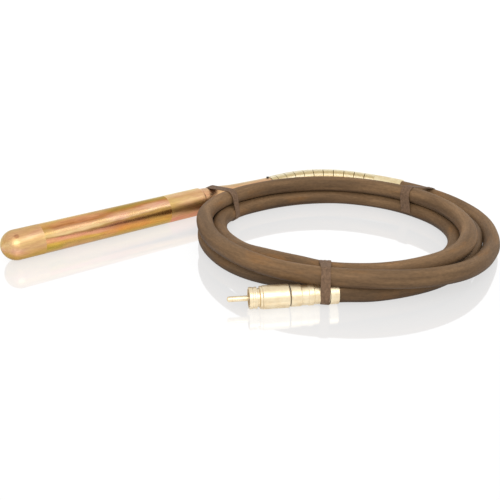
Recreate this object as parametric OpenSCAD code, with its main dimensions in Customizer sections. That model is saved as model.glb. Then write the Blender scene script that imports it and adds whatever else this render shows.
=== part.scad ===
/* [Head] */
// Outside diameter of the vibrating head
head_od = 51; // [49:0.5:52]
// Bore of the head tube at the bearing seats
tube_id = 40; // [40:0.5:40]
// Length of the head from the centre of its nose to the rear shoulder
head_len = 357; // [340:1:370]
// Distance from the centre of the nose to the seam of the nose cap
nose_seam = 41; // [38:1:44]
// Distance from the centre of the nose to the joint of tube and rear adapter
adapter_seam = 278; // [274:1:282]

/* [Neck] */
// Distance from the centre of the nose to the rear end of the neck
neck_end = 521; // [516:0.5:530]
// Outside diameter of the neck where it leaves the head
neck_d1 = 46; // [44:0.5:48]
// Outside diameter of the neck at its rear end
neck_d2 = 31; // [30:0.5:33]
// Diameter of the bore that the flexible core runs in
core_bore = 12; // [11:0.5:14]

/* [Rotor] */
// Diameter of the rotor's bearing journals
journal_d = 17; // [17:0.5:17]
// Outside radius of the eccentric weight
weight_r = 17.6; // [15:0.1:17.8]
// Length of the eccentric weight
weight_len = 128; // [100:1:134]
// Diameter of the flexible core
core_d = 10; // [9:0.5:10.5]
// Number of balls in each bearing
balls = 8; // [7:1:8]

/* [Hose] */
// Outside diameter of the rubber hose
hose_d = 28; // [28:0.5:28]
// Outside diameter of the spring guard
guard_d = 33; // [32:0.5:34]
// Radius of the guard's first bend
bend_r = 175; // [165:1:185]
// Radius of the guard's second bend, up to its end ferrule
bend_r2 = 330; // [310:1:350]

/* [Coil] */
// Inside radius of the coiled hose
coil_ri = 172; // [168:1:180]
// Outside radius of the coiled hose
coil_ro = 244; // [240:1:248]
// Height of the coiled hose on the floor
coil_h = 56; // [54:1:58]
// Width of each tie strap
tie_w = 12; // [8:1:14]

/* [Coupling] */
// Outside diameter of the coupling body
coupling_d = 34; // [34:0.5:34]
// Diameter of the drive pin
pin_d = 8; // [7:0.5:9]
// How far the drive pin stands out of the coupling's mouth
pin_out = 31; // [20:1:34]

/* [Hidden] */

$fn = 96;
e = 0.01;
hr = head_od / 2;
tr = tube_id / 2;
seat_r = 19;                       // bore of the tube between the bearing seats
x0 = -248;                         // centre of the round nose; the axis lies at y = 0, z = hr
xs = x0 + nose_seam;               // seam of the nose cap
xa = x0 + adapter_seam;            // joint of tube and rear adapter
xh = x0 + head_len;                // rear shoulder of the head
xn = x0 + neck_end;                // rear end of the neck
fb = -176;                         // centre of the front bearing
rb = -10;                          // centre of the rear bearing
bw = 12;                           // width of each bearing
pitch_r = 14.25;                   // pitch radius of the balls
ball_r = 3.4;
race_c = 0.05;                     // running clearance of the balls

// guard: a straight stretch, then two bends in a plane that leans a little towards the floor
lean = 2.8;
bend_x = 303;                      // where the first bend begins
turn1 = 52;                        // angle of the first bend
turn2 = 8;                         // angle of the second bend that is still spring
turn3 = 10.2;                      // angle of the end ferrule

// route of the outer turn, as [angle, radius, height] about the middle of the coil
coil_x = 212;
coil_y = -258;
route_in = [[14, 298, 17], [8, 298, 16], [-2, 295, 15], [-14, 289, 14.2], [-26, 279.5, 14.1],
            [-38, 267, 14.6], [-48, 257.5, 17], [-58, 249, 22.5], [-70, 242, 28], [-82, 239, 31], [-92, 236, 34], [-105, 231, 37.5]];
// route of the end that runs to the coupling
route_out = [[-97, 215, 14.1], [-108, 215, 14.1]];
// middle of the closed ring that the turns fill
ring_c = [212, -258];

// coupling: its axis starts at the hose ferrule and points away from the coil
cp = [65.4, -425.6, 17];
ca = 151;

function polar(p) = [coil_x + p[1] * cos(p[0]), coil_y + p[1] * sin(p[0]), p[2]];
function unit(v) = v / norm(v);
function tangent(P, i) = let (n = len(P)) unit(i == 0 ? P[1] - P[0] : i == n - 1 ? P[n - 1] - P[n - 2] : unit(P[i + 1] - P[i]) + unit(P[i] - P[i - 1]));
function along(t, z = 17) = [cp[0] + t * cos(ca), cp[1] + t * sin(ca), z];

// a closed tube of radius r that follows the points P, with k sides
module swept(P, r, k = 12) {
    n = len(P);
    pts = [for (i = [0 : n - 1]) let (t = tangent(P, i), s = unit(cross([0, 0, 1], t)), u = cross(t, s))
            for (j = [0 : k - 1]) P[i] + r * (cos(360 * j / k) * s + sin(360 * j / k) * u)];
    sides = [for (i = [0 : n - 2]) for (j = [0 : k - 1]) [i * k + j, i * k + (j + 1) % k, (i + 1) * k + (j + 1) % k, (i + 1) * k + j]];
    caps = [[for (j = [k - 1 : -1 : 0]) j], [for (j = [0 : k - 1]) (n - 1) * k + j]];
    polyhedron(points = pts, faces = [for (f = concat(sides, caps)) [for (q = [len(f) - 1 : -1 : 0]) f[q]]], convexity = 10);
}

// children stand on the head's axis, with their own z axis along it, from position x
module on_axis(x = 0) { translate([x, 0, hr]) rotate([0, 90, 0]) children(); }
// a plain ring from x1 to x2 on the head's axis
module ring(x1, x2, ro, ri) {
    on_axis(x1) difference() {
        cylinder(r = ro, h = x2 - x1);
        if (ri > 0) translate([0, 0, -1]) cylinder(r = ri, h = x2 - x1 + 2);
    }
}
// children stand on the coupling's axis, with their own z axis along it
module on_coupling(t = 0) { translate(cp) rotate([0, 0, ca]) rotate([0, 90, 0]) translate([0, 0, t]) children(); }
module cring(t1, t2, ro, ri) {
    on_coupling(t1) difference() {
        cylinder(r = ro, h = t2 - t1);
        if (ri > 0) translate([0, 0, -1]) cylinder(r = ri, h = t2 - t1 + 2);
    }
}

// ---- head ----
module nose_cap() {
    color([0.78, 0.66, 0.42]) difference() {
        union() {
            translate([x0, 0, hr]) rotate([0, 90, 0]) rotate([0, 0, 0]) rotate_extrude()
                intersection() { circle(r = hr); translate([0, -hr]) square([hr, hr]); }
            ring(x0, xs, hr, 0);
            ring(xs, xs + 16, tr, 0);
        }
        // grease pocket
        on_axis(x0 + 8) cylinder(r = 13, h = xs + 20 - x0);
        // groove of the o-ring
        on_axis(xs + 4) difference() { cylinder(r = tr + 1, h = 3); translate([0, 0, -1]) cylinder(r = tr - 1.8, h = 5); }
    }
}
module nose_o_ring() { color([0.08, 0.08, 0.08]) ring(xs + 4.2, xs + 6.8, tr, tr - 1.8); }
module head_tube() {
    color([0.80, 0.68, 0.44]) difference() {
        ring(xs, xa, hr, seat_r);
        on_axis(xs - 1) cylinder(r = tr, h = fb + bw / 2 - xs + 1);
        on_axis(rb - bw / 2) cylinder(r = tr, h = xa - rb + bw);
        // groove of the circlip
        on_axis(rb + bw / 2) cylinder(r = tr + 1, h = 1.5);
    }
}
module race_outer(x) {
    on_axis(x) rotate_extrude() difference() {
        translate([16.4, -bw / 2]) square([tr - 16.4, bw]);
        translate([pitch_r, 0]) circle(r = ball_r + race_c);
    }
}
module race_inner(x) {
    on_axis(x) rotate_extrude() difference() {
        translate([journal_d / 2, -bw / 2]) square([12.1 - journal_d / 2, bw]);
        translate([pitch_r, 0]) circle(r = ball_r + race_c);
    }
}
module ball_set(x) {
    on_axis(x) {
        for (i = [0 : balls - 1]) rotate([0, 0, 360 / balls * i]) translate([pitch_r, 0, 0]) sphere(r = ball_r);
        difference() {
            translate([0, 0, -2.2]) cylinder(r = 15.1, h = 4.4);
            translate([0, 0, -3]) cylinder(r = 13.4, h = 6);
        }
    }
}
module front_bearing_outer() { color([0.75, 0.76, 0.78]) race_outer(fb); }
module front_bearing_balls() { color([0.85, 0.86, 0.88]) ball_set(fb); }
module front_bearing_inner() { color([0.75, 0.76, 0.78]) race_inner(fb); }
module rear_bearing_outer() { color([0.75, 0.76, 0.78]) race_outer(rb); }
module rear_bearing_balls() { color([0.85, 0.86, 0.88]) ball_set(rb); }
module rear_bearing_inner() { color([0.75, 0.76, 0.78]) race_inner(rb); }

module rotor_shaft() {
    color([0.62, 0.63, 0.65]) difference() {
        union() {
            ring(fb - bw / 2 - 2, rb + 32, journal_d / 2, 0);
            ring(fb + bw / 2, rb - bw / 2, 11, 0);
        }
        // square socket for the tip of the core
        translate([rb + 18, -4, hr - 4]) cube([16, 8, 8]);
        // cross holes of the weight's pins
        for (x = [-140, -46]) translate([x, 0, hr - 12]) cylinder(r = 3, h = 24);
    }
}
module eccentric_weight() {
    color([0.50, 0.50, 0.52]) difference() {
        ring(-157, -157 + weight_len, weight_r, 11);
        translate([-170, -25, hr]) cube([weight_len + 30, 50, 30]);
        for (x = [-140, -46]) translate([x, 0, hr - 20]) cylinder(r = 3, h = 20);
    }
}
module weight_pins() {
    color([0.35, 0.35, 0.36]) for (x = [-140, -46]) translate([x, 0, hr - 17]) cylinder(r = 3, h = 27);
}
module front_spacer() { color([0.55, 0.56, 0.58]) ring(xs + 16, fb - bw / 2, tr, 17); }
module bearing_circlip() { color([0.3, 0.3, 0.31]) ring(rb + bw / 2, rb + bw / 2 + 1.4, tr + 0.9, 17.2); }
module oil_seal() { color([0.12, 0.08, 0.06]) ring(rb + bw / 2 + 2, rb + bw / 2 + 9, tr, journal_d / 2 + 0.06); }
module rear_adapter() {
    color([0.76, 0.62, 0.40]) difference() {
        union() {
            on_axis(xa) rotate_extrude() polygon([[0, 0], [hr, 0], [hr, xh - xa - 4], [hr - 1.2, xh - xa - 1.4], [hr - 4, xh - xa], [0, xh - xa]]);
            ring(xa - 14, xa, tr, 0);
        }
        on_axis(xa - 15) cylinder(r = core_bore / 2 + 1, h = xh - xa + 20);
        // socket of the rotor's end
        on_axis(xa - 15) cylinder(r = 10, h = 11);
        // socket of the neck's spigot
        on_axis(xh - 18) cylinder(r = 14, h = 20);
        // groove of the o-ring
        on_axis(xa - 7) difference() { cylinder(r = tr + 1, h = 3); translate([0, 0, -1]) cylinder(r = tr - 1.8, h = 5); }
    }
}
module adapter_o_ring() { color([0.08, 0.08, 0.08]) ring(xa - 6.8, xa - 4.2, tr, tr - 1.8); }
module neck_tube() {
    color([0.76, 0.56, 0.36]) difference() {
        union() {
            on_axis(xh) rotate_extrude() polygon([[0, 0], [neck_d1 / 2, 0], [neck_d1 / 2, 8], [neck_d1 / 2 - 2.2, 44], [neck_d1 / 2 - 4.7, 68],
                [neck_d1 / 2 - 5.9, 92], [neck_d2 / 2 + 0.2, 141], [neck_d2 / 2, 160], [neck_d2 / 2, xn - xh], [0, xn - xh]]);
            ring(xh - 17.8, xh, 14, 0);
        }
        on_axis(xh - 20) cylinder(r = core_bore / 2, h = xn - xh + 30);
        // seat of the guide bush
        on_axis(xn - 22) cylinder(r = 8, h = 30);
        // grub screw's hole
        translate([xn - 4, 0, hr]) cylinder(r = 2.5, h = 20);
        // groove of the o-ring
        on_axis(xh - 10) difference() { cylinder(r = 15, h = 2.5); translate([0, 0, -1]) cylinder(r = 12.4, h = 5); }
    }
}
module neck_o_ring() { color([0.08, 0.08, 0.08]) ring(xh - 9.8, xh - 7.7, 14, 12.4); }
module core_guide_bush() { color([0.72, 0.52, 0.28]) ring(xn - 22, xn, 8, core_d / 2 + 0.06); }
module neck_grub_screw() {
    color([0.08, 0.08, 0.08]) difference() {
        translate([xn - 4, 0, hr + 8]) cylinder(r = 2.5, h = neck_d2 / 2 - 8 + 2.2);
        translate([xn - 4, 0, hr + neck_d2 / 2 - 0.6]) cylinder(r = 1.3, h = 5, $fn = 6);
    }
}
module core_head_end() {
    color([0.45, 0.45, 0.46]) union() {
        translate([rb + 18.5, -3.9, hr - 3.9]) cube([15, 7.8, 7.8]);
        ring(rb + 33, xn, core_d / 2, 0);
    }
}

// ---- hose and guard ----
// children are a flat section about x = 0; it follows an arc of radius r in the leaning plane from heading a1 to heading a2
// p is the arc's start in that plane
module arc(p, r, a1, a2) {
    translate([bend_x, 0, hr]) rotate([lean, 0, 0]) translate([p[0] - r * sin(a1), p[1] - r * cos(a1), 0]) rotate([0, 0, 90 - a2])
        rotate_extrude(angle = a2 - a1) translate([r, 0]) children();
}
function arc_end(p, r, a1, a2) = [p[0] + r * (sin(a2) - sin(a1)), p[1] + r * (cos(a2) - cos(a1))];
b1 = arc_end([0, 0], bend_r, 0, turn1);
b2 = arc_end(b1, bend_r2, turn1, turn1 + turn2);
b3 = arc_end(b2, bend_r2, turn1 + turn2, turn1 + turn2 + turn3);
module section(ro, ri) { difference() { circle(r = ro); if (ri > 0) circle(r = ri); } }
// a rod of radius r from x1 along the straight stretch and both bends, up to heading a
module guard_path(r, x1, a) {
    ring(x1, bend_x, r, 0);
    arc([0, 0], bend_r, 0, turn1) circle(r = r);
    arc(b1, bend_r2, turn1, a) circle(r = r);
}
module hose_head_end() { color([0.40, 0.31, 0.24]) guard_path(hose_d / 2, xn, turn1 + turn2 + turn3); }
module spring_guard() {
    color([0.86, 0.80, 0.62]) difference() {
        guard_path(guard_d / 2, xn, turn1 + turn2);
        guard_path(hose_d / 2 + 0.2, xn - 1, turn1 + turn2 + 0.3);
    }
}
module guard_ferrule() { color([0.86, 0.79, 0.60]) arc(b2, bend_r2, turn1 + turn2, turn1 + turn2 + turn3) section(guard_d / 2 - 0.4, hose_d / 2 + 0.2); }
// where the guard's bend ends
guard_end = [bend_x + b3[0], b3[1] * cos(lean), hr + b3[1] * sin(lean)];
out_a = turn1 + turn2 + turn3;
guard_out = [cos(out_a), -sin(out_a) * cos(lean), -sin(out_a) * sin(lean)];
module hose_lead_in() { color([0.40, 0.31, 0.24]) swept(concat([guard_end, guard_end + 2 * guard_out], [for (p = route_in) polar(p)]), hose_d / 2, 12); }
module hose_coil() {
    color([0.38, 0.29, 0.22]) difference() {
        translate([ring_c[0], ring_c[1], 0]) rotate_extrude($fn = 180)
            polygon([[coil_ri, 4], [coil_ri + 4, 0], [coil_ro - 4, 0], [coil_ro, 4], [coil_ro, coil_h - 8], [coil_ro - 8, coil_h], [coil_ri + 8, coil_h], [coil_ri, coil_h - 8]]);
        // room for the neck, for the guard and for the coupling
        on_axis(90) cylinder(r = 22, h = 210);
        on_coupling(-4) cylinder(r = 18, h = 120);
        // room under the ties
        for (a = tie_angles) translate([ring_c[0], ring_c[1], -1]) rotate([0, 0, a[0]]) translate([150, -tie_w / 2 - 0.2, 0]) cube([130, tie_w + 0.4, 2.6]);
    }
}
module hose_lead_out() { color([0.40, 0.31, 0.24]) swept(concat([for (p = route_out) polar(p)], [along(-12, 16.5), along(-1), along(12.9)]), hose_d / 2 - 0.1, 12); }

// ties, as [angle, inner radius, outer radius] about the middle of the ring
tie_angles = [[-136, 169.8, 248.5], [105, 169.8, 294.5], [8, 169.8, 314.5]];
module tie(a) {
    color([0.33, 0.24, 0.18]) translate([ring_c[0], ring_c[1], 0]) rotate([0, 0, a[0]]) translate([0, tie_w / 2, 0]) rotate([90, 0, 0])
        linear_extrude(height = tie_w) difference() {
            translate([a[1], 0]) square([a[2] - a[1], coil_h + 1.5]);
            translate([a[1] + 1.5, 1.5]) square([a[2] - a[1] - 3, coil_h - 1.5]);
        }
}
module tie_front() { tie(tie_angles[0]); }
module tie_left() { tie(tie_angles[1]); }
module tie_right() { tie(tie_angles[2]); }

// ---- coupling ----
cr = coupling_d / 2;
mouth = 128;
module hose_ferrule() { color([0.86, 0.80, 0.66]) cring(0, 12.5, 15.8, hose_d / 2); }
module coupling_tail() {
    color([0.85, 0.79, 0.65]) on_coupling(13) rotate_extrude() polygon([[7, 0], [14.2, 0], [14.2, 22], [15.6, 23], [15.6, 30], [14.8, 31], [14.8, 40.3], [7, 40.3]]);
}
module coupling_sleeve() { color([0.86, 0.80, 0.66]) on_coupling(53.3) rotate_extrude() polygon([[7, 0], [15.3, 0], [15.9, 1], [15.9, 15], [15.3, 15.7], [7, 15.7]]); }
module coupling_seal_ring() { color([0.12, 0.10, 0.09]) cring(69, 70.5, 15, 7); }
module coupling_body() {
    color([0.87, 0.82, 0.68]) difference() {
        on_coupling(70.5) rotate_extrude() polygon([[7, 0], [16.2, 0], [cr, 1.2], [cr, 37.3], [16.2, 38.5], [7, 38.5]]);
        on_coupling(82) cylinder(r = 11, h = 40);
        on_coupling(94) cylinder(r = 12, h = 1.6);
    }
}
module coupling_bearing() { color([0.74, 0.55, 0.30]) cring(82, 94, 11, 6.06); }
module coupling_circlip() { color([0.3, 0.3, 0.31]) cring(94, 95.5, 11.9, 8); }
module coupling_spigot() {
    color([0.85, 0.79, 0.64]) on_coupling(109) rotate_extrude() polygon([[7, 0], [16, 0], [16.4, 0.8], [16.4, 3], [15, 4], [13.2, 4.6], [13.2, 7], [15.6, 7.8],
        [15.6, 10.4], [15, 11], [15, 13.4], [15.6, 14], [15.6, 18.4], [15, 19], [13.4, 19], [13.4, 9], [7, 9]]);
}
module core_coupling_end() { color([0.45, 0.45, 0.46]) cring(14, 76, core_d / 2, 0); }
module drive_pin() {
    color([0.88, 0.84, 0.70]) on_coupling(0) rotate_extrude() union() {
        translate([0, 76]) square([6, 42]);
        translate([0, 117]) square([pin_d / 2, mouth + pin_out - 117 - pin_d / 4]);
        intersection() { translate([0, mouth + pin_out - pin_d / 2]) circle(r = pin_d / 2); translate([0, mouth + pin_out - pin_d / 4 - 0.01]) square([pin_d, pin_d]); }
    }
}

nose_cap();
nose_o_ring();
head_tube();
front_bearing_outer();
front_bearing_balls();
front_bearing_inner();
rotor_shaft();
eccentric_weight();
weight_pins();
rear_bearing_outer();
rear_bearing_balls();
rear_bearing_inner();
front_spacer();
bearing_circlip();
oil_seal();
rear_adapter();
adapter_o_ring();
neck_tube();
neck_o_ring();
core_guide_bush();
neck_grub_screw();
core_head_end();
hose_head_end();
spring_guard();
guard_ferrule();
hose_lead_in();
hose_coil();
hose_lead_out();
tie_front();
tie_left();
tie_right();
hose_ferrule();
coupling_tail();
coupling_sleeve();
coupling_seal_ring();
coupling_body();
coupling_bearing();
coupling_circlip();
coupling_spigot();
core_coupling_end();
drive_pin();
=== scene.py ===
import math

import bpy
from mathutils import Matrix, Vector


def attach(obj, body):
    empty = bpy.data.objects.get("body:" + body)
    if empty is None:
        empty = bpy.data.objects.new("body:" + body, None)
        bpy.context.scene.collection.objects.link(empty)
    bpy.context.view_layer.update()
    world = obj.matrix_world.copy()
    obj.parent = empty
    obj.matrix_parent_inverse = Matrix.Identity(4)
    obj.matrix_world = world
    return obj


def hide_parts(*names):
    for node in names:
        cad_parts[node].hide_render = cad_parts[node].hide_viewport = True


MM = 0.001
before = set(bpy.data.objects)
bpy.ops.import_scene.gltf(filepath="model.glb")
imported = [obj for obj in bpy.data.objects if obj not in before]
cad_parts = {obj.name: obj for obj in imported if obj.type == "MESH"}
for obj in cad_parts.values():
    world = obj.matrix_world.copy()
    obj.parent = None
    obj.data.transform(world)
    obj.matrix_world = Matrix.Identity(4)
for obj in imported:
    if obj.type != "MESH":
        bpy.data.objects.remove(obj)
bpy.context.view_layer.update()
SCN = bpy.context.scene


# ------------------------------------------------------------------ materials
def srgb(r, g, b):
    def one(c):
        c /= 255.0
        return c / 12.92 if c <= 0.04045 else ((c + 0.055) / 1.055) ** 2.4
    return (one(r), one(g), one(b), 1.0)


class Mat:
    """A Principled material and short calls that add nodes to it."""

    def __init__(self, name, color, metallic=0.0, rough=0.5, **more):
        self.m = bpy.data.materials.new(name)
        self.m.use_nodes = True
        self.t = self.m.node_tree
        self.p = self.t.nodes["Principled BSDF"]
        self.p.inputs["Base Color"].default_value = color
        self.p.inputs["Metallic"].default_value = metallic
        self.p.inputs["Roughness"].default_value = rough
        for k, v in more.items():
            self.p.inputs[k.replace("_", " ")].default_value = v

    def new(self, kind, **values):
        n = self.t.nodes.new(kind)
        for k, v in values.items():
            setattr(n, k, v)
        return n

    def link(self, a, b):
        self.t.links.new(a, b)

    def math(self, op, a, b=None, c=None, clamp=False):
        n = self.new("ShaderNodeMath", operation=op, use_clamp=clamp)
        for i, v in enumerate((a, b, c)):
            if v is None:
                continue
            if isinstance(v, (int, float)):
                n.inputs[i].default_value = v
            else:
                self.link(v, n.inputs[i])
        return n.outputs[0]

    def noise(self, vec, scale, detail=3.0, rough=0.5, distortion=0.0):
        n = self.new("ShaderNodeTexNoise")
        n.inputs["Scale"].default_value = scale
        n.inputs["Detail"].default_value = detail
        n.inputs["Roughness"].default_value = rough
        n.inputs["Distortion"].default_value = distortion
        self.link(vec, n.inputs["Vector"])
        return n.outputs[0]

    def mapped(self, vec, scale=(1, 1, 1), loc=(0, 0, 0)):
        n = self.new("ShaderNodeMapping")
        n.inputs["Scale"].default_value = scale
        n.inputs["Location"].default_value = loc
        self.link(vec, n.inputs["Vector"])
        return n.outputs[0]

    def ramp(self, fac, stops, mode="LINEAR"):
        n = self.new("ShaderNodeValToRGB")
        n.color_ramp.interpolation = mode
        el = n.color_ramp.elements
        while len(el) < len(stops):
            el.new(0.5)
        for e, (pos, col) in zip(el, stops):
            e.position = pos
            e.color = col
        self.link(fac, n.inputs[0])
        return n.outputs[0]

    def mix(self, fac, a, b, mode="MIX"):
        n = self.new("ShaderNodeMix", data_type="RGBA", blend_type=mode)
        for sock, v in ((n.inputs[0], fac), (n.inputs[6], a), (n.inputs[7], b)):
            if isinstance(v, (int, float)):
                sock.default_value = v
            elif isinstance(v, tuple):
                sock.default_value = v
            else:
                self.link(v, sock)
        return n.outputs[2]

    def bump(self, height, strength=0.3, dist=0.0005):
        n = self.new("ShaderNodeBump")
        n.inputs["Strength"].default_value = strength
        n.inputs["Distance"].default_value = dist
        self.link(height, n.inputs["Height"])
        self.link(n.outputs[0], self.p.inputs["Normal"])


def grey(v):
    return (v, v, v, 1.0)


def zinc(name, seed, tint, stops, rough=0.27, spot=None, rear=None):
    """Iridescent yellow zinc plate. Its colour follows the angle round the head's axis, broken up by streaks along it:
    the film's colours, with a painted highlight and painted reflection bands taken from the stops.
    """
    k = Mat(name, tint, 1.0, rough)
    obj = k.new("ShaderNodeTexCoord").outputs["Object"]
    sep = k.new("ShaderNodeSeparateXYZ")
    k.link(obj, sep.inputs[0])
    # angle round the axis, 0 at the back's level, growing over the top to the front and under it
    ang = k.math("ARCTAN2", k.math("SUBTRACT", sep.outputs[2], 25.5 * MM), sep.outputs[1])
    turn = k.math("FRACT", k.math("ADD", k.math("DIVIDE", ang, 2 * math.pi), 1.0))
    streak = k.noise(k.mapped(obj, (5, 40, 40), (seed, 0, 0)), 1.0, 4.0, 0.6)
    blotch = k.noise(k.mapped(obj, (18, 45, 45), (seed + 3, 1, 0)), 1.0, 3.0, 0.5)
    shift = k.math("MULTIPLY_ADD", k.math("SUBTRACT", streak, 0.5), 0.13, turn)
    shift = k.math("MULTIPLY_ADD", k.math("SUBTRACT", blotch, 0.5), 0.06, shift)
    col = k.ramp(shift, stops)
    if rear:
        place = k.math("MULTIPLY_ADD", k.math("SUBTRACT", blotch, 0.5), 0.7, k.math("MULTIPLY_ADD", sep.outputs[0], 8.0, 1.3))
        col = k.mix(k.ramp(place, [(0.30, grey(0)), (0.70, grey(1))]), col, k.ramp(shift, rear))
    film = k.noise(k.mapped(obj, (11, 22, 22), (seed + 7, 2, 0)), 1.0, 2.0, 0.5)
    col = k.mix(k.ramp(film, [(0.50, grey(0)), (0.64, grey(0.45))]), col, srgb(196, 170, 82))
    col = k.mix(k.ramp(film, [(0.34, grey(0.28)), (0.46, grey(0))]), col, srgb(224, 160, 134))
    # spot: a small reddish-brown patch on the nose, a painted reflection.
    if spot:
        v = k.new("ShaderNodeVectorMath", operation="DISTANCE")
        k.link(obj, v.inputs[0])
        v.inputs[1].default_value = spot
        col = k.mix(k.ramp(k.math("MULTIPLY", v.outputs["Value"], 100.0), [(0.28, grey(0.8)), (0.50, grey(0))]), col, srgb(176, 126, 92))
    fine = k.noise(k.mapped(obj, (60, 420, 420), (seed, 5, 0)), 1.0, 2.0, 0.5)
    col = k.mix(0.16, col, k.ramp(fine, [(0.35, srgb(120, 84, 52)), (0.65, srgb(250, 226, 190))]), "OVERLAY")
    k.link(col, k.p.inputs["Base Color"])
    k.link(k.math("MULTIPLY_ADD", blotch, 0.14, rough - 0.07), k.p.inputs["Roughness"])
    k.bump(fine, 0.05, 0.0002)
    return k.m


# Colour stops by turn round the axis. Besides the film's colours they hold painted light: the pale stops around
# 0.37-0.41 in HEAD_STOPS, HEAD_REAR_STOPS and NOSE_STOPS are a painted highlight streak, with darker painted reflection
# bands beside them; REAR_STOPS and NECK_STOPS hold paler and darker bands of the same kind.
HEAD_STOPS = [
    (0.00, srgb(190, 150, 90)), (0.19, srgb(214, 184, 112)), (0.25, srgb(206, 168, 92)), (0.30, srgb(214, 156, 104)), (0.34, srgb(176, 118, 72)),
    (0.378, srgb(222, 178, 138)), (0.412, srgb(240, 208, 160)), (0.438, srgb(178, 134, 90)), (0.466, srgb(222, 156, 128)),
    (0.50, srgb(228, 166, 124)), (0.53, srgb(218, 176, 84)), (0.57, srgb(176, 152, 66)), (0.62, srgb(200, 168, 92)), (0.70, srgb(170, 136, 72)),
    (0.82, srgb(150, 120, 70)), (1.00, srgb(190, 150, 90)),
]
HEAD_REAR_STOPS = [
    (0.00, srgb(190, 150, 90)), (0.18, srgb(200, 178, 92)), (0.22, srgb(168, 144, 54)), (0.285, srgb(170, 138, 54)), (0.33, srgb(186, 126, 80)),
    (0.372, srgb(230, 174, 150)), (0.412, srgb(240, 198, 174)), (0.438, srgb(170, 122, 84)), (0.466, srgb(184, 126, 92)),
    (0.50, srgb(208, 142, 96)), (0.53, srgb(224, 154, 88)), (0.57, srgb(214, 150, 76)), (0.62, srgb(204, 164, 84)), (0.70, srgb(170, 136, 72)),
    (0.82, srgb(150, 120, 70)), (1.00, srgb(190, 150, 90)),
]
NOSE_STOPS = [
    (0.00, srgb(200, 160, 100)), (0.20, srgb(196, 172, 112)), (0.27, srgb(204, 168, 116)), (0.34, srgb(212, 164, 130)), (0.40, srgb(236, 202, 172)),
    (0.44, srgb(220, 178, 146)), (0.50, srgb(220, 172, 150)), (0.56, srgb(218, 168, 124)), (0.62, srgb(196, 156, 84)), (0.80, srgb(160, 126, 80)), (1.00, srgb(200, 160, 100)),
]
REAR_STOPS = [
    (0.00, srgb(190, 150, 100)), (0.20, srgb(228, 210, 156)), (0.28, srgb(228, 190, 146)), (0.335, srgb(212, 168, 124)),
    (0.375, srgb(226, 190, 146)), (0.41, srgb(206, 164, 122)), (0.44, srgb(198, 154, 112)), (0.50, srgb(202, 156, 112)), (0.545, srgb(212, 160, 118)),
    (0.60, srgb(222, 150, 122)), (0.66, srgb(226, 160, 116)), (0.80, srgb(160, 110, 80)), (1.00, srgb(190, 150, 100)),
]
NECK_STOPS = [
    (0.00, srgb(200, 160, 124)), (0.20, srgb(222, 206, 170)), (0.27, srgb(206, 176, 140)), (0.34, srgb(222, 182, 138)), (0.45, srgb(216, 170, 126)),
    (0.60, srgb(170, 118, 82)), (0.80, srgb(140, 100, 70)), (1.00, srgb(200, 160, 124)),
]

M = {}
M["zinc_head"] = zinc("zinc_head", 1.7, srgb(205, 165, 110), HEAD_STOPS, rear=HEAD_REAR_STOPS)
M["zinc_nose"] = zinc("zinc_nose", 4.2, srgb(215, 175, 120), NOSE_STOPS, 0.44, (-0.2506, -0.0150, 0.0461))
M["zinc_rear"] = zinc("zinc_rear", 8.9, srgb(200, 150, 105), REAR_STOPS, 0.42)
M["zinc_neck"] = zinc("zinc_neck", 12.4, srgb(196, 140, 95), NECK_STOPS, 0.40)


def plated(name, seed, a, b, rough=0.26):
    """Pale yellow plate with faint darker patches."""
    k = Mat(name, a, 1.0, rough)
    obj = k.new("ShaderNodeTexCoord").outputs["Object"]
    n = k.noise(k.mapped(obj, (1, 1, 1), (seed, 0, 0)), 70.0, 4.0, 0.6)
    k.link(k.ramp(n, [(0.3, b), (0.62, a)]), k.p.inputs["Base Color"])
    k.link(k.math("MULTIPLY_ADD", n, 0.16, rough - 0.08), k.p.inputs["Roughness"])
    return k.m


M["plated"] = plated("plated", 2.0, srgb(236, 221, 190), srgb(220, 198, 160), 0.40)
M["guard_metal"] = plated("guard_metal", 6.0, srgb(238, 224, 186), srgb(222, 200, 156), 0.34)


def winding():
    """Guard wire: painted shade in the gaps between the turns, a band of painted shade on the shoulder and a painted
    highlight line below it.
    """
    k = Mat("guard_wire", srgb(238, 224, 186), 1.0, 0.34)
    at = k.new("ShaderNodeAttribute", attribute_name="hp").outputs["Vector"]
    sep = k.new("ShaderNodeSeparateXYZ")
    k.link(at, sep.inputs[0])
    # Colour by height round the wire: the bright line at 0.80-0.855 is a painted highlight, the duller band at
    # 0.885-0.965 is painted shade.
    up = k.math("MULTIPLY_ADD", sep.outputs[2], 35.7, 0.5)
    col = k.ramp(up, [(0.00, srgb(200, 176, 126)), (0.70, srgb(214, 190, 142)), (0.80, srgb(255, 244, 214)), (0.855, srgb(250, 232, 190)),
                      (0.885, srgb(214, 194, 148)), (0.965, srgb(224, 208, 166)), (0.99, srgb(242, 232, 204)), (1.00, srgb(244, 236, 208))])
    # Darker colour at each gap between the turns: painted shade.
    turn = k.math("FRACT", k.math("DIVIDE", k.math("SUBTRACT", sep.outputs[0], 0.001), WIRE))
    turn_gap_shade = k.ramp(turn, [(0.00, grey(0.9)), (0.16, grey(0.1)), (0.80, grey(0.0)), (1.00, grey(0.9))])
    fade = k.noise(k.mapped(at, (30, 30, 30)), 1.0, 2.0, 0.5)
    col = k.mix(k.math("MULTIPLY", turn_gap_shade, k.math("MULTIPLY_ADD", fade, 0.8, 0.05)), col, srgb(150, 126, 84))
    k.link(col, k.p.inputs["Base Color"])
    return k.m


GUARD_LEN, FERRULE_LEN, WINDINGS = 0.237, 0.058, 85
WIRE = (GUARD_LEN - 0.001) / WINDINGS
M["guard_wire"] = winding()


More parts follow.
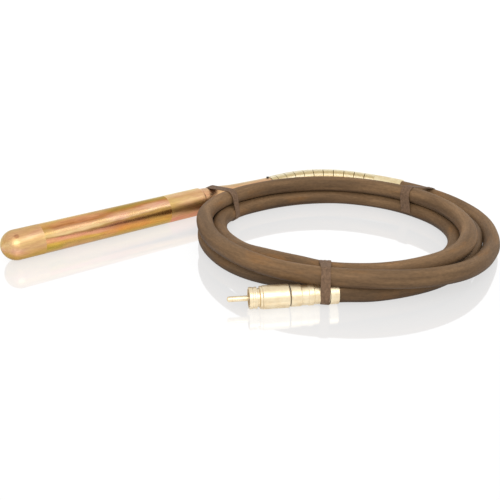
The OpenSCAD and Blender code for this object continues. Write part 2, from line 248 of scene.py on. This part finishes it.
def rubber():
    """Brown rubber with marks that run along it, painted shade darkening its underside and painted shade on stretches
    that lie under other turns. The hose mesh stores its own unrolled place as hp.
    """
    k = Mat("hose_rubber", srgb(112, 86, 62), 0.0, 0.72)
    k.p.inputs["Specular IOR Level"].default_value = 0.22
    at = k.new("ShaderNodeAttribute", attribute_name="hp").outputs["Vector"]
    sep = k.new("ShaderNodeSeparateXYZ")
    k.link(at, sep.inputs[0])
    long = k.noise(k.mapped(at, (6, 60, 60)), 1.0, 4.0, 0.6)
    patch = k.noise(k.mapped(at, (14, 45, 45), (3, 0, 0)), 1.0, 3.0, 0.55)
    fine = k.noise(k.mapped(at, (160, 420, 420)), 1.0, 2.0, 0.5)
    col = k.ramp(long, [(0.28, srgb(94, 72, 49)), (0.5, srgb(114, 88, 61)), (0.72, srgb(138, 108, 76))])
    col = k.mix(k.ramp(patch, [(0.56, grey(0)), (0.76, grey(0.65))]), col, srgb(138, 98, 56))
    col = k.mix(0.20, col, k.ramp(fine, [(0.35, grey(0.25)), (0.65, grey(0.75))]), "OVERLAY")
    # Darker towards the underside of the hose, broken up by the long marks: painted shade.
    underside_shade = k.math("MULTIPLY_ADD", k.math("SUBTRACT", long, 0.5), 0.5, k.math("MULTIPLY_ADD", sep.outputs[2], 35.7, 0.5))
    col = k.mix(k.ramp(underside_shade, [(0.04, grey(1)), (0.50, grey(0.45)), (0.86, grey(0))]), col, (0.36, 0.33, 0.30, 1.0), "MULTIPLY")
    # Darker stretches along the hose where it lies under other turns: painted shade.
    covered_turn_shade = k.ramp(k.math("DIVIDE", sep.outputs[0], 5.0), [(0.10, grey(0)), (0.135, grey(0.55)), (0.175, grey(0.5)), (0.205, grey(0)), (0.64, grey(0)), (0.68, grey(1)), (0.77, grey(1)), (0.81, grey(0)), (0.88, grey(0)), (0.92, grey(0.8)), (1.0, grey(0.5))])
    col = k.mix(covered_turn_shade, col, (0.74, 0.75, 0.76, 1.0), "MULTIPLY")
    k.link(col, k.p.inputs["Base Color"])
    k.link(k.math("MULTIPLY_ADD", patch, 0.25, 0.55), k.p.inputs["Roughness"])
    k.bump(k.math("MULTIPLY_ADD", long, 0.5, fine), 0.25, 0.0006)
    return k.m


M["rubber"] = rubber()


def strap():
    k = Mat("tie_strap", srgb(100, 80, 64), 0.0, 0.7)
    k.p.inputs["Specular IOR Level"].default_value = 0.25
    obj = k.new("ShaderNodeTexCoord").outputs["Object"]
    n = k.noise(obj, 260.0, 3.0, 0.6)
    k.link(k.ramp(n, [(0.3, srgb(88, 68, 52)), (0.7, srgb(120, 94, 72))]), k.p.inputs["Base Color"])
    k.bump(n, 0.3, 0.0004)
    return k.m


M["strap"] = strap()
M["seal"] = Mat("seal_rubber", srgb(40, 36, 32), 0.0, 0.5).m
# A flat dark brown, used only for the sheet of painted shade inside the spring guard.
M["dark"] = Mat("painted_gap_shade", srgb(70, 56, 38), 0.0, 0.7).m
M["bearing"] = Mat("bearing_steel", srgb(215, 216, 220), 1.0, 0.12).m
M["steel"] = Mat("plain_steel", srgb(170, 172, 176), 1.0, 0.32).m
M["black"] = Mat("black_steel", srgb(48, 46, 44), 0.6, 0.45).m
M["bronze"] = Mat("bush_bronze", srgb(200, 160, 92), 1.0, 0.3).m

CAD_MAT = {
    "nose_cap": "zinc_nose", "head_tube": "zinc_head", "rear_adapter": "zinc_rear", "neck_tube": "zinc_neck",
    "nose_o_ring": "seal", "adapter_o_ring": "seal", "neck_o_ring": "seal", "oil_seal": "seal", "coupling_seal_ring": "seal",
    "front_bearing_outer": "bearing", "front_bearing_balls": "bearing", "front_bearing_inner": "bearing",
    "rear_bearing_outer": "bearing", "rear_bearing_balls": "bearing", "rear_bearing_inner": "bearing",
    "rotor_shaft": "steel", "eccentric_weight": "steel", "front_spacer": "steel", "core_head_end": "steel", "core_coupling_end": "steel",
    "weight_pins": "black", "bearing_circlip": "black", "coupling_circlip": "black", "neck_grub_screw": "black",
    "core_guide_bush": "bronze", "coupling_bearing": "bronze",
    "spring_guard": "guard_wire", "guard_ferrule": "guard_metal",
    "hose_head_end": "rubber", "hose_lead_in": "rubber", "hose_coil": "rubber", "hose_lead_out": "rubber",
    "tie_front": "strap", "tie_left": "strap", "tie_right": "strap",
    "hose_ferrule": "plated", "coupling_tail": "plated", "coupling_sleeve": "plated", "coupling_body": "plated",
    "coupling_spigot": "plated", "drive_pin": "plated",
}
for node, name in CAD_MAT.items():
    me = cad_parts[node].data
    me.materials.clear()
    me.materials.append(M[name])


# ------------------------------------------------------------------ hose route
CX, CY = 212.0, -258.0
# angle round the coil in degrees, running on through all turns; radius and height in mm
ROUTE = [
    (76.7, 265, 25.5), (70, 275.5, 25.5), (62, 288, 25.5), (54, 296.5, 25), (45, 300, 24), (36, 298.5, 21.5), (27, 297, 19.5),
    (18, 298, 17.5), (8, 298, 16), (-2, 295, 15), (-14, 289, 14), (-26, 279.5, 14), (-38, 268, 14.5), (-48, 260.5, 16.5),
    (-58, 254, 20.5), (-70, 251, 26), (-82, 248, 30.5), (-92, 243, 34), (-105, 235, 37.5), (-120, 226.5, 40.5), (-135, 222.5, 41.5),
    (-150, 222.5, 43), (-165, 219.5, 43), (-180, 217.5, 43), (-195, 217, 42), (-210, 218.5, 42), (-225, 222.5, 42),
    (-240, 220.5, 42), (-255, 213.5, 42), (-270, 207, 42), (-285, 204, 42), (-300, 203, 42), (-315, 203, 42), (-330, 203, 42),
    (-345, 205, 42), (-360, 210, 42), (-375, 214, 42), (-390, 217, 42), (-405, 220, 42), (-420, 221.5, 42), (-435, 219.5, 41.5),
    (-450, 215.5, 41.5), (-465, 206.5, 39), (-480, 198, 37), (-495, 194.5, 37.5), (-510, 192.5, 41.5), (-525, 190, 39.5),
    (-540, 188, 33), (-555, 187.5, 28.5), (-570, 191.5, 23.5), (-585, 199.5, 19.5), (-600, 208.5, 16.5), (-615, 208.5, 14.4),
    (-630, 203.5, 14), (-645, 202.5, 14), (-660, 204.5, 14), (-675, 208, 14), (-690, 209, 14), (-705, 211, 14), (-720, 212, 14),
    (-735, 213.5, 14), (-750, 211.5, 14), (-765, 205.5, 14), (-780, 198, 14), (-795, 189.5, 14), (-810, 183, 14), (-825, 179, 14),
    (-840, 179, 14), (-855, 179.5, 14), (-870, 186.5, 14), (-885, 198, 14), (-900, 205.5, 14), (-915, 210.5, 14), (-930, 216.5, 14),
    (-945, 223, 14), (-960, 235.5, 14), (-975, 233, 14), (-990, 228.5, 14), (-1005, 230.5, 14), (-1020, 232.5, 14),
    (-1035, 237, 14), (-1050, 240, 14), (-1065, 245, 14), (-1080, 250, 14), (-1095, 252, 14), (-1110, 247.5, 14), (-1125, 234, 14),
    (-1140, 226, 14), (-1155, 221.5, 14), (-1170, 218.5, 14), (-1185, 216, 14), (-1197, 216.5, 14),
]
HEADING = math.radians(151)
CP = Vector((65.4, -425.6, 17))
CDIR = Vector((math.cos(HEADING), math.sin(HEADING), 0))


def hermite(xs, ys, monotone=False):
    """A function through the points; with monotone it adds no dips or humps."""
    n = len(xs)
    d = [(ys[i + 1] - ys[i]) / (xs[i + 1] - xs[i]) for i in range(n - 1)]
    m = [d[0]] + [0.0] * (n - 2) + [d[-1]]
    for i in range(1, n - 1):
        h0, h1 = xs[i] - xs[i - 1], xs[i + 1] - xs[i]
        m[i] = (d[i - 1] * h1 + d[i] * h0) / (h0 + h1)
        if monotone:
            if d[i - 1] * d[i] <= 0:
                m[i] = 0.0
            else:
                lim = 2.5 * min(abs(d[i - 1]), abs(d[i]))
                m[i] = max(-lim, min(lim, m[i]))

    def f(x):
        lo, hi = 0, n - 2
        while lo < hi:
            mid = (lo + hi + 1) // 2
            if xs[mid] <= x:
                lo = mid
            else:
                hi = mid - 1
        h = xs[lo + 1] - xs[lo]
        t = (x - xs[lo]) / h
        return ((2 * t ** 3 - 3 * t ** 2 + 1) * ys[lo] + (t ** 3 - 2 * t ** 2 + t) * h * m[lo]
                + (-2 * t ** 3 + 3 * t ** 2) * ys[lo + 1] + (t ** 3 - t ** 2) * h * m[lo + 1])
    return f


XS = [-p[0] for p in ROUTE]
RF = hermite(XS, [p[1] for p in ROUTE])
ZF = hermite(XS, [p[2] for p in ROUTE], True)


def at_angle(phi):
    """The hose's centre in mm at the running angle phi."""
    a = math.radians(phi)
    r = RF(-phi)
    return Vector((CX + r * math.cos(a), CY + r * math.sin(a), ZF(-phi)))


class Path:
    """A polyline in metres that can be asked for its place and direction at a distance along it."""

    def __init__(self, points):
        self.p = points
        self.s = [0.0]
        for a, b in zip(points, points[1:]):
            self.s.append(self.s[-1] + (b - a).length)
        self.length = self.s[-1]

    def at(self, s):
        s = max(0.0, min(self.length, s))
        lo, hi = 0, len(self.s) - 2
        while lo < hi:
            mid = (lo + hi + 1) // 2
            if self.s[mid] <= s:
                lo = mid
            else:
                hi = mid - 1
        t = (s - self.s[lo]) / (self.s[lo + 1] - self.s[lo])
        return self.p[lo].lerp(self.p[lo + 1], t)

    def way(self, s):
        a, b = self.at(s - 0.004), self.at(s + 0.004)
        return (b - a).normalized()

    def upto(self, step):
        n = max(2, round(self.length / step))
        return [self.length * i / n for i in range(n + 1)]


rough = []
a = 76.7
while a > -1197:
    rough.append(at_angle(a))
    a -= 0.75
end = at_angle(-1197)
back = at_angle(-1196)
t0 = (end - back).normalized()
span = (CP - end).length
for i in range(0, 13):
    t = i / 12
    rough.append((2 * t ** 3 - 3 * t ** 2 + 1) * end + (t ** 3 - 2 * t ** 2 + t) * span * t0
                 + (-2 * t ** 3 + 3 * t ** 2) * CP + (t ** 3 - t ** 2) * span * CDIR)
for i in range(1, 5):
    rough.append(CP + CDIR * (i * 3.2))
HOSE = Path([v * MM for v in rough])


def frame_at(path, s):
    """Place, direction, sideways and up at a distance along a path that stays nearly level."""
    p, t = path.at(s), path.way(s)
    side = Vector((0, 0, 1)).cross(t).normalized()
    return p, t, side, t.cross(side)


def make(name, verts, faces, mat, smooth=True):
    me = bpy.data.meshes.new(name)
    me.from_pydata([tuple(v) for v in verts], [], faces)
    me.materials.append(mat)
    me.update()
    if smooth:
        me.shade_smooth()
    o = bpy.data.objects.new(name, me)
    SCN.collection.objects.link(o)
    return o


def sweep(name, path, rings, mat, sides=32, caps=True, coords=False, sharp=None):
    """rings are (distance along the path, radius) from end to end. Returns a closed round piece along the path."""
    verts, hp = [], []
    for s, r in rings:
        p, t, side, up = frame_at(path, s)
        for j in range(sides):
            g = 2 * math.pi * j / sides
            verts.append(p + side * (r * math.cos(g)) + up * (r * math.sin(g)))
            hp.append((s, 0.014 * math.cos(g), 0.014 * math.sin(g)))
    faces = []
    for i in range(len(rings) - 1):
        for j in range(sides):
            k = (j + 1) % sides
            faces.append((i * sides + j, i * sides + k, (i + 1) * sides + k, (i + 1) * sides + j))
    if caps:
        faces.append(tuple(reversed(range(sides))))
        faces.append(tuple((len(rings) - 1) * sides + j for j in range(sides)))
    o = make(name, verts, faces, mat)
    if coords:
        at = o.data.attributes.new("hp", "FLOAT_VECTOR", "POINT")
        at.data.foreach_set("vector", [c for v in hp for c in v])
    if sharp:
        o.data.set_sharp_from_angle(angle=math.radians(sharp))
    return o


HR = 14 * MM
steps = HOSE.upto(0.005)
hose = sweep("hose", HOSE, [(s, HR) for s in steps], M["rubber"], 32, coords=True)
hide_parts("hose_head_end", "hose_lead_in", "hose_coil", "hose_lead_out")
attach(hose, "frame")

# ------------------------------------------------------------------ spring guard: windings, a wider gap every eighth one
rings = [(0.0005, 0.0146), (0.0006, 0.0163)]
for i in range(WINDINGS):
    s, p = 0.001 + i * WIRE, WIRE
    if i % 8 == 5:
        rings += [(s + 0.02 * p, 0.0157), (s + 0.28 * p, 0.0162), (s + 0.30 * p, 0.0148), (s + 0.70 * p, 0.0148), (s + 0.72 * p, 0.0162), (s + 0.985 * p, 0.0156)]
    else:
        rings += [(s + 0.02 * p, 0.0157), (s + 0.14 * p, 0.0163), (s + 0.45 * p, 0.0166), (s + 0.78 * p, 0.0163), (s + 0.93 * p, 0.0156), (s + 0.985 * p, 0.0156)]
rings += [(GUARD_LEN, 0.0157), (GUARD_LEN + 0.0001, 0.0146)]
guard = sweep("guard_windings", HOSE, rings, M["guard_wire"], 48, caps=False, coords=True, sharp=50)
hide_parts("spring_guard")
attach(guard, "frame")

# A dark sheet inside the windings: painted shade seen through the gaps between the turns.
shade_sheet = sweep("guard_shade_sheet", HOSE, [(0.002, 0.0142), (0.0021, 0.0151)] + [(0.002 + (GUARD_LEN - 0.004) * i / 60, 0.0151) for i in range(1, 61)] + [(GUARD_LEN - 0.0019, 0.0142)],
               M["dark"], 48, caps=False)
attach(shade_sheet, "frame")

g0, g1 = GUARD_LEN + 0.0002, GUARD_LEN + FERRULE_LEN
rings = [(g0, 0.0145), (g0, 0.0158), (g0 + 0.0006, 0.0163)]
rings += [(g0 + 0.0006 + (FERRULE_LEN - 0.002) * i / 12, 0.0163) for i in range(1, 13)]
rings += [(g1 - 0.0002, 0.0159), (g1, 0.0142), (g1 - 0.003, 0.0139)]
gf = sweep("guard_end", HOSE, rings, M["guard_metal"], 48, caps=False, sharp=40)
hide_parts("guard_ferrule")
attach(gf, "frame")


# ------------------------------------------------------------------ ties
def hull(points):
    points = sorted(set(points))

    def half(ps):
        out = []
        for p in ps:
            while len(out) > 1 and (out[-1][0] - out[-2][0]) * (p[1] - out[-2][1]) - (out[-1][1] - out[-2][1]) * (p[0] - out[-2][0]) <= 0:
                out.pop()
            out.append(p)
        return out
    lower, upper = half(points), half(points[::-1])
    return lower[:-1] + upper[:-1]


def resample(loop, step):
    pts = loop + [loop[0]]
    out = []
    for (x0, y0), (x1, y1) in zip(pts, pts[1:]):
        n = max(1, math.ceil(math.hypot(x1 - x0, y1 - y0) / step))
        out += [(x0 + (x1 - x0) * i / n, y0 + (y1 - y0) * i / n) for i in range(n)]
    return out


def crossings(phi):
    """Centres (radius, height) of every stretch of hose that passes the angle phi, in mm, past the guard."""
    out = []
    q = phi
    while q > 75:
        q -= 360
    while q >= -1196.9:
        out.append((RF(-q), ZF(-q), q))
        q -= 360
    return out


def tie(name, phi, width, extra=(), keep=lambda q: True, node=None, swing=0.0, taper=0.0):
    """A flat strap pulled round the stretches of hose at the angle phi."""
    circles = [(r, z, 14.0) for r, z, q in crossings(phi) if keep(q)] + list(extra)
    pts = []
    for r, z, rad in circles:
        for i in range(48):
            g = 2 * math.pi * i / 48
            pts.append((round(r + (rad + 0.3) * math.cos(g), 4), round(max(0.4, z + (rad + 0.3) * math.sin(g)), 4)))
    loop = resample(hull(pts), 3.0)
    n = len(loop)
    a = math.radians(phi)
    rad, tan = Vector((math.cos(a), math.sin(a), 0)), Vector((-math.sin(a), math.cos(a), 0))
    c = Vector((CX, CY, 0))
    cols = 13
    verts = []
    rlo = min(p[0] for p in loop)
    rhi = max(p[0] for p in loop)
    rin, zin, qin = min(t for t in crossings(phi) if keep(t[2]))
    for i, (r, z) in enumerate(loop):
        r0, z0 = loop[i - 1]
        r1, z1 = loop[(i + 1) % n]
        dr, dz = r1 - r0, z1 - z0
        l = math.hypot(dr, dz)
        nr, nz = dz / l, -dr / l
        lean = swing * ((r - rlo) / (rhi - rlo) - 0.5)
        w = (width + taper * ((r - rlo) / (rhi - rlo) - 0.5)) * (1.0 - 0.06 * math.sin(6 * i / n * math.pi + phi))
        for j in range(cols):
            u = j / (cols - 1) - 0.5
            lift = 0.9 + 0.45 * abs(math.cos(u * 3 * math.pi)) ** 0.7 * (1 - (2 * u) ** 8)
            lift *= min(1.0, 0.35 + z / 40)
            off = u * w + lean
            far = min(1.0, max(0.0, (r - rlo - 20) / 40))
            turned = a + off / rin
            bent = RF(-(qin + math.degrees(off / rin))) - rin
            for h in (0.0, lift):
                flat = rad * (r + nr * h) + tan * off
                curved = Vector((math.cos(turned), math.sin(turned), 0)) * (r + bent + nr * h)
                verts.append((c + curved * (1 - far) + flat * far + Vector((0, 0, max(0.15, z + nz * h)))) * MM)
    faces = []
    for i in range(n):
        k = (i + 1) % n
        for j in range(cols - 1):
            i0, k0 = (i * cols + j) * 2, (k * cols + j) * 2
            faces.append((i0 + 1, i0 + 3, k0 + 3, k0 + 1))
            faces.append((i0, k0, k0 + 2, i0 + 2))
        i0, k0 = i * cols * 2, k * cols * 2
        faces.append((i0, i0 + 1, k0 + 1, k0))
        i0, k0 = i0 + (cols - 1) * 2, k0 + (cols - 1) * 2
        faces.append((i0 + 1, i0, k0, k0 + 1))
    o = make(name, verts, faces, M["strap"])
    o.data.set_sharp_from_angle(angle=math.radians(60))
    if node:
        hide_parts(node)
    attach(o, "frame")
    return o


def on_coupling(t):
    p = CP + CDIR * t
    return math.degrees(math.atan2(p.y - CY, p.x - CX)), math.hypot(p.x - CX, p.y - CY)


def strip(name, phi, line, width, node=None, swing=0.0, ends=1.0):
    """A flat open strap that follows the (radius, height) points of line in the upright plane at the angle phi."""
    pts = []
    for (x0, y0), (x1, y1) in zip(line, line[1:]):
        n = max(1, math.ceil(math.hypot(x1 - x0, y1 - y0) / 2.5))
        pts += [(x0 + (x1 - x0) * i / n, y0 + (y1 - y0) * i / n) for i in range(n)]
    pts.append(line[-1])
    n = len(pts)
    a = math.radians(phi)
    rad, tan = Vector((math.cos(a), math.sin(a), 0)), Vector((-math.sin(a), math.cos(a), 0))
    c = Vector((CX, CY, 0))
    cols = 9
    verts = []
    for i, (r, z) in enumerate(pts):
        r0, z0 = pts[max(0, i - 1)]
        r1, z1 = pts[min(n - 1, i + 1)]
        dr, dz = r1 - r0, z1 - z0
        l = math.hypot(dr, dz)
        nr, nz = -dz / l, dr / l
        w = width * (1 + (ends - 1) * i / (n - 1))
        for j in range(cols):
            u = j / (cols - 1) - 0.5
            lift = 0.8 + 0.4 * abs(math.cos(u * 3 * math.pi)) ** 0.7 * (1 - (2 * u) ** 8)
            for h in (0.0, lift):
                verts.append((c + rad * (r + nr * h) + tan * (u * w + swing * (i / (n - 1) - 0.5)) + Vector((0, 0, max(0.15, z + nz * h)))) * MM)
    faces = []
    for i in range(n - 1):
        for j in range(cols - 1):
            i0, k0 = (i * cols + j) * 2, ((i + 1) * cols + j) * 2
            faces.append((i0 + 1, i0 + 3, k0 + 3, k0 + 1))
            faces.append((i0, k0, k0 + 2, i0 + 2))
        i0, k0 = i * cols * 2, (i + 1) * cols * 2
        faces.append((i0, i0 + 1, k0 + 1, k0))
        i0, k0 = i0 + (cols - 1) * 2, k0 + (cols - 1) * 2
        faces.append((i0 + 1, i0, k0, k0 + 1))
    for base, flip in ((0, False), ((n - 1) * cols * 2, True)):
        for j in range(cols - 1):
            q = (base + j * 2, base + j * 2 + 2, base + j * 2 + 3, base + j * 2 + 1)
            faces.append(q[::-1] if flip else q)
    o = make(name, verts, faces, M["strap"])
    o.data.set_sharp_from_angle(angle=math.radians(60))
    if node:
        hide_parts(node)
    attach(o, "frame")
    return o


def arc(cr, cz, radius, a0, a1, n=14):
    return [(cr + radius * math.cos(math.radians(a0 + (a1 - a0) * i / n)), cz + radius * math.sin(math.radians(a0 + (a1 - a0) * i / n))) for i in range(n + 1)]


ft, fr = on_coupling(19)
tie_front = tie("strap_front", ft - 0.4, 15.5, extra=[(fr, 17, 15.0)], keep=lambda q: True, node="tie_front", swing=8.4, taper=-5)
tie_left = tie("strap_left", 108.3, 18, extra=[(258 / math.sin(math.radians(107)), 25.5, 22.0)], node="tie_left", swing=-25, taper=7)
RT = 6.5
br, bz = RF(360 - RT), ZF(360 - RT)
ar, az = RF(-RT), ZF(-RT)
cr = RF(720 - RT)
tie_right = strip("strap_right", RT, [(cr - 14.6, 10)] + arc(br, bz, 14.6, 184, 66) + arc(ar, az, 14.6, 84, 10), 21, node="tie_right", swing=20, ends=0.6)

# ------------------------------------------------------------------ floor, light, camera
k = Mat("floor", grey(0.15), 0.0, 0.04)
k.p.inputs["Emission Color"].default_value = grey(1.0)
k.p.inputs["Emission Strength"].default_value = 0.655
k.p.inputs["IOR"].default_value = 2.3
fl = make("floor", [(-12, -12, 0), (12, -12, 0), (12, 12, 0), (-12, 12, 0)], [(0, 1, 2, 3)], k.m, False)

world = bpy.data.worlds.new("world")
SCN.world = world
world.use_nodes = True
world.node_tree.nodes["Background"].inputs[0].default_value = (1, 1, 1, 1)
world.node_tree.nodes["Background"].inputs[1].default_value = 1.0


def area(name, loc, target, size, size_y, energy, color=(1, 1, 1)):
    d = bpy.data.lights.new(name, "AREA")
    d.shape = "RECTANGLE"
    d.size, d.size_y, d.energy, d.color = size, size_y, energy, color
    o = bpy.data.objects.new(name, d)
    o.location = loc
    o.rotation_euler = (Vector(target) - Vector(loc)).to_track_quat("-Z", "Y").to_euler()
    SCN.collection.objects.link(o)
    return o


area("key", (0.30, -0.85, 1.10), (0.25, 0.0, 0.02), 1.5, 0.13, 1.0)
area("front", (-0.50, -1.05, 0.85), (0.12, -0.25, 0.0), 0.9, 0.6, 6.5, (1.0, 0.97, 0.93))

cam = bpy.data.cameras.new("camera")
cam.sensor_width = 36
cam.lens = 51.17
cam.clip_start, cam.clip_end = 0.05, 60
co = bpy.data.objects.new("camera", cam)
co.location = (-0.5755, -1.0820, 0.4790)
co.rotation_euler = (math.radians(66.5), 0, math.radians(-36.49))
SCN.collection.objects.link(co)
SCN.camera = co
SCN.view_settings.view_transform = "Standard"
SCN.view_settings.look = "None"
